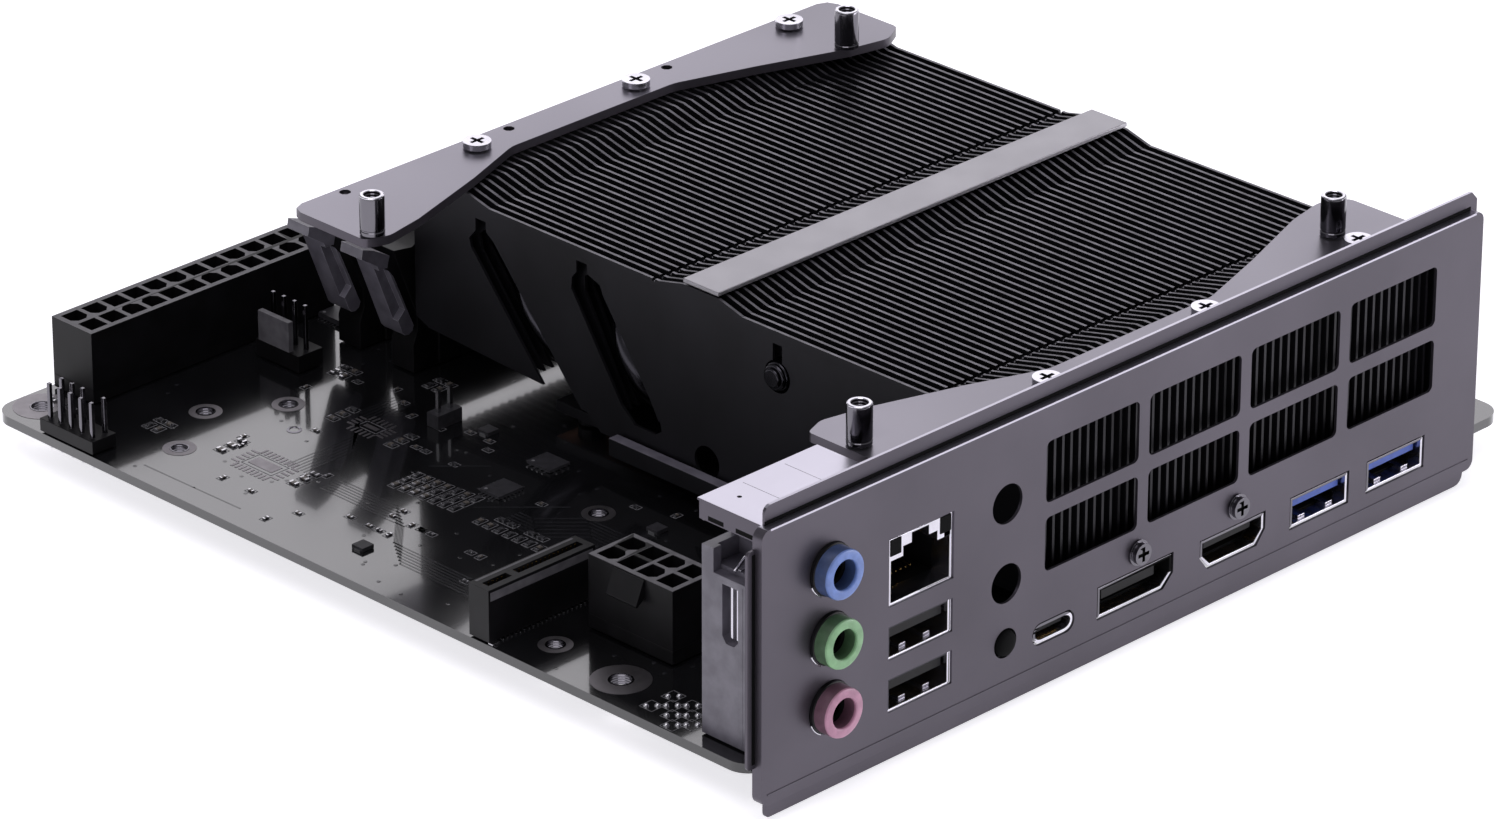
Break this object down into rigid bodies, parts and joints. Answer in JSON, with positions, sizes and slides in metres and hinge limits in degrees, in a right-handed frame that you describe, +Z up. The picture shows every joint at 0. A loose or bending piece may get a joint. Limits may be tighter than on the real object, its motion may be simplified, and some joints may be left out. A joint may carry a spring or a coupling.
{
  "type": "motherboard",
  "caption": "Mini-ITX computer board with a soldered processor, a low fin cooler with fan brackets, an input/output shield, power sockets and card sockets",
  "frame": {"origin": "centre of the footprint, on the plane through the shield's lowest edge", "axes": "+Z up out of the board's component side, +Y from the rear sockets to the far edge, +X to the right seen from behind the sockets"},
  "size_m": [0.1738, 0.178, 0.0518],
  "materials": {
    "solder_mask": "glossy black solder mask on glass laminate",
    "shield_metal": "satin dark grey",
    "bracket_metal": "satin",
    "plated_metal": "bright tin plate",
    "black_nickel": "polished black nickel",
    "fin_metal": "satin black coat",
    "pipe_metal": "black nickel plated copper",
    "bar_metal": "bead blasted",
    "copper": "machined copper",
    "black_plastic": "moulded nylon",
    "grey_plastic": "moulded nylon",
    "jack_blue": "moulded",
    "jack_green": "moulded",
    "jack_pink": "moulded",
    "tongue_blue": "moulded",
    "substrate": "laminate"
  },
  "bodies": {
    "board": {"pcb": "solder_mask", "io_shield": "shield_metal", "audio_stack": "black_plastic", "jack_line_in": "jack_blue", "jack_line_out": "jack_green", "jack_microphone": "jack_pink", "lan_usb_shell": "plated_metal", "network_insert": "black_plastic", "usb2_tongue_lower": "black_plastic", "usb2_tongue_upper": "black_plastic", "stack_cover": "plated_metal", "switch_body": "black_plastic", "usb_c_shell": "plated_metal", "usb_c_tongue": "black_plastic", "displayport_shell": "plated_metal", "displayport_tongue": "black_plastic", "hdmi_shell": "plated_metal", "hdmi_tongue": "black_plastic", "usb3_a_shell": "plated_metal", "usb3_a_tongue": "tongue_blue", "usb3_b_shell": "plated_metal", "usb3_b_tongue": "tongue_blue", "port_screw_left": "plated_metal", "port_screw_right": "plated_metal", "fin_stack": "fin_metal", "heat_pipe_far": "pipe_metal", "heat_pipe_middle": "pipe_metal", "heat_pipe_front": "pipe_metal", "cold_plate": "copper", "centre_bar": "bar_metal", "bracket_front": "bracket_metal", "bracket_far": "bracket_metal", "bracket_front_screw_1": "plated_metal", "bracket_front_screw_2": "plated_metal", "bracket_front_screw_3": "plated_metal", "bracket_far_screw_1": "plated_metal", "bracket_far_screw_2": "plated_metal", "bracket_far_screw_3": "plated_metal", "fan_pillar_1": "black_nickel", "fan_pillar_2": "black_nickel", "fan_pillar_3": "black_nickel", "fan_pillar_4": "black_nickel", "processor": "substrate", "backplate": "black_nickel", "atx_power_24": "black_plastic", "eps_power_8": "black_plastic", "front_panel_header": "black_plastic", "fan_header": "black_plastic", "upright_card_socket": "black_plastic", "memory_socket_1": "black_plastic", "memory_socket_2": "black_plastic", "card_slot_x16": "black_plastic"},
    "button": {"switch_cap": "black_plastic"},
    "lever_1_left": {"memory_lever_1_left": "grey_plastic"},
    "lever_1_right": {"memory_lever_1_right": "grey_plastic"},
    "lever_2_left": {"memory_lever_2_left": "grey_plastic"},
    "lever_2_right": {"memory_lever_2_right": "grey_plastic"},
    "card_lever": {"card_slot_latch": "grey_plastic"}
  },
  "joints": [
    {"name": "button_press", "type": "slide", "parent": "board", "child": "button", "axis": [0, 1, 0], "range_m": [0, 0.0004], "stiffness_N_per_m": 800},
    {"name": "memory_lever_1_left_open", "type": "hinge", "parent": "board", "child": "lever_1_left", "pos_m": [-0.02792, 0.0536, 0.0154], "axis": [0, -1, 0], "range_deg": [0, 25]},
    {"name": "memory_lever_1_right_open", "type": "hinge", "parent": "board", "child": "lever_1_right", "pos_m": [0.05568, 0.0536, 0.0154], "axis": [0, 1, 0], "range_deg": [0, 25]},
    {"name": "memory_lever_2_left_open", "type": "hinge", "parent": "board", "child": "lever_2_left", "pos_m": [-0.02792, 0.06625, 0.0154], "axis": [0, -1, 0], "range_deg": [0, 25]},
    {"name": "memory_lever_2_right_open", "type": "hinge", "parent": "board", "child": "lever_2_right", "pos_m": [0.05568, 0.06625, 0.0154], "axis": [0, 1, 0], "range_deg": [0, 25]},
    {"name": "card_lever_press", "type": "hinge", "parent": "board", "child": "card_lever", "pos_m": [0.07938, 0.0566, 0.01], "axis": [-1, 0, 0], "range_deg": [0, 20]}
  ]
}
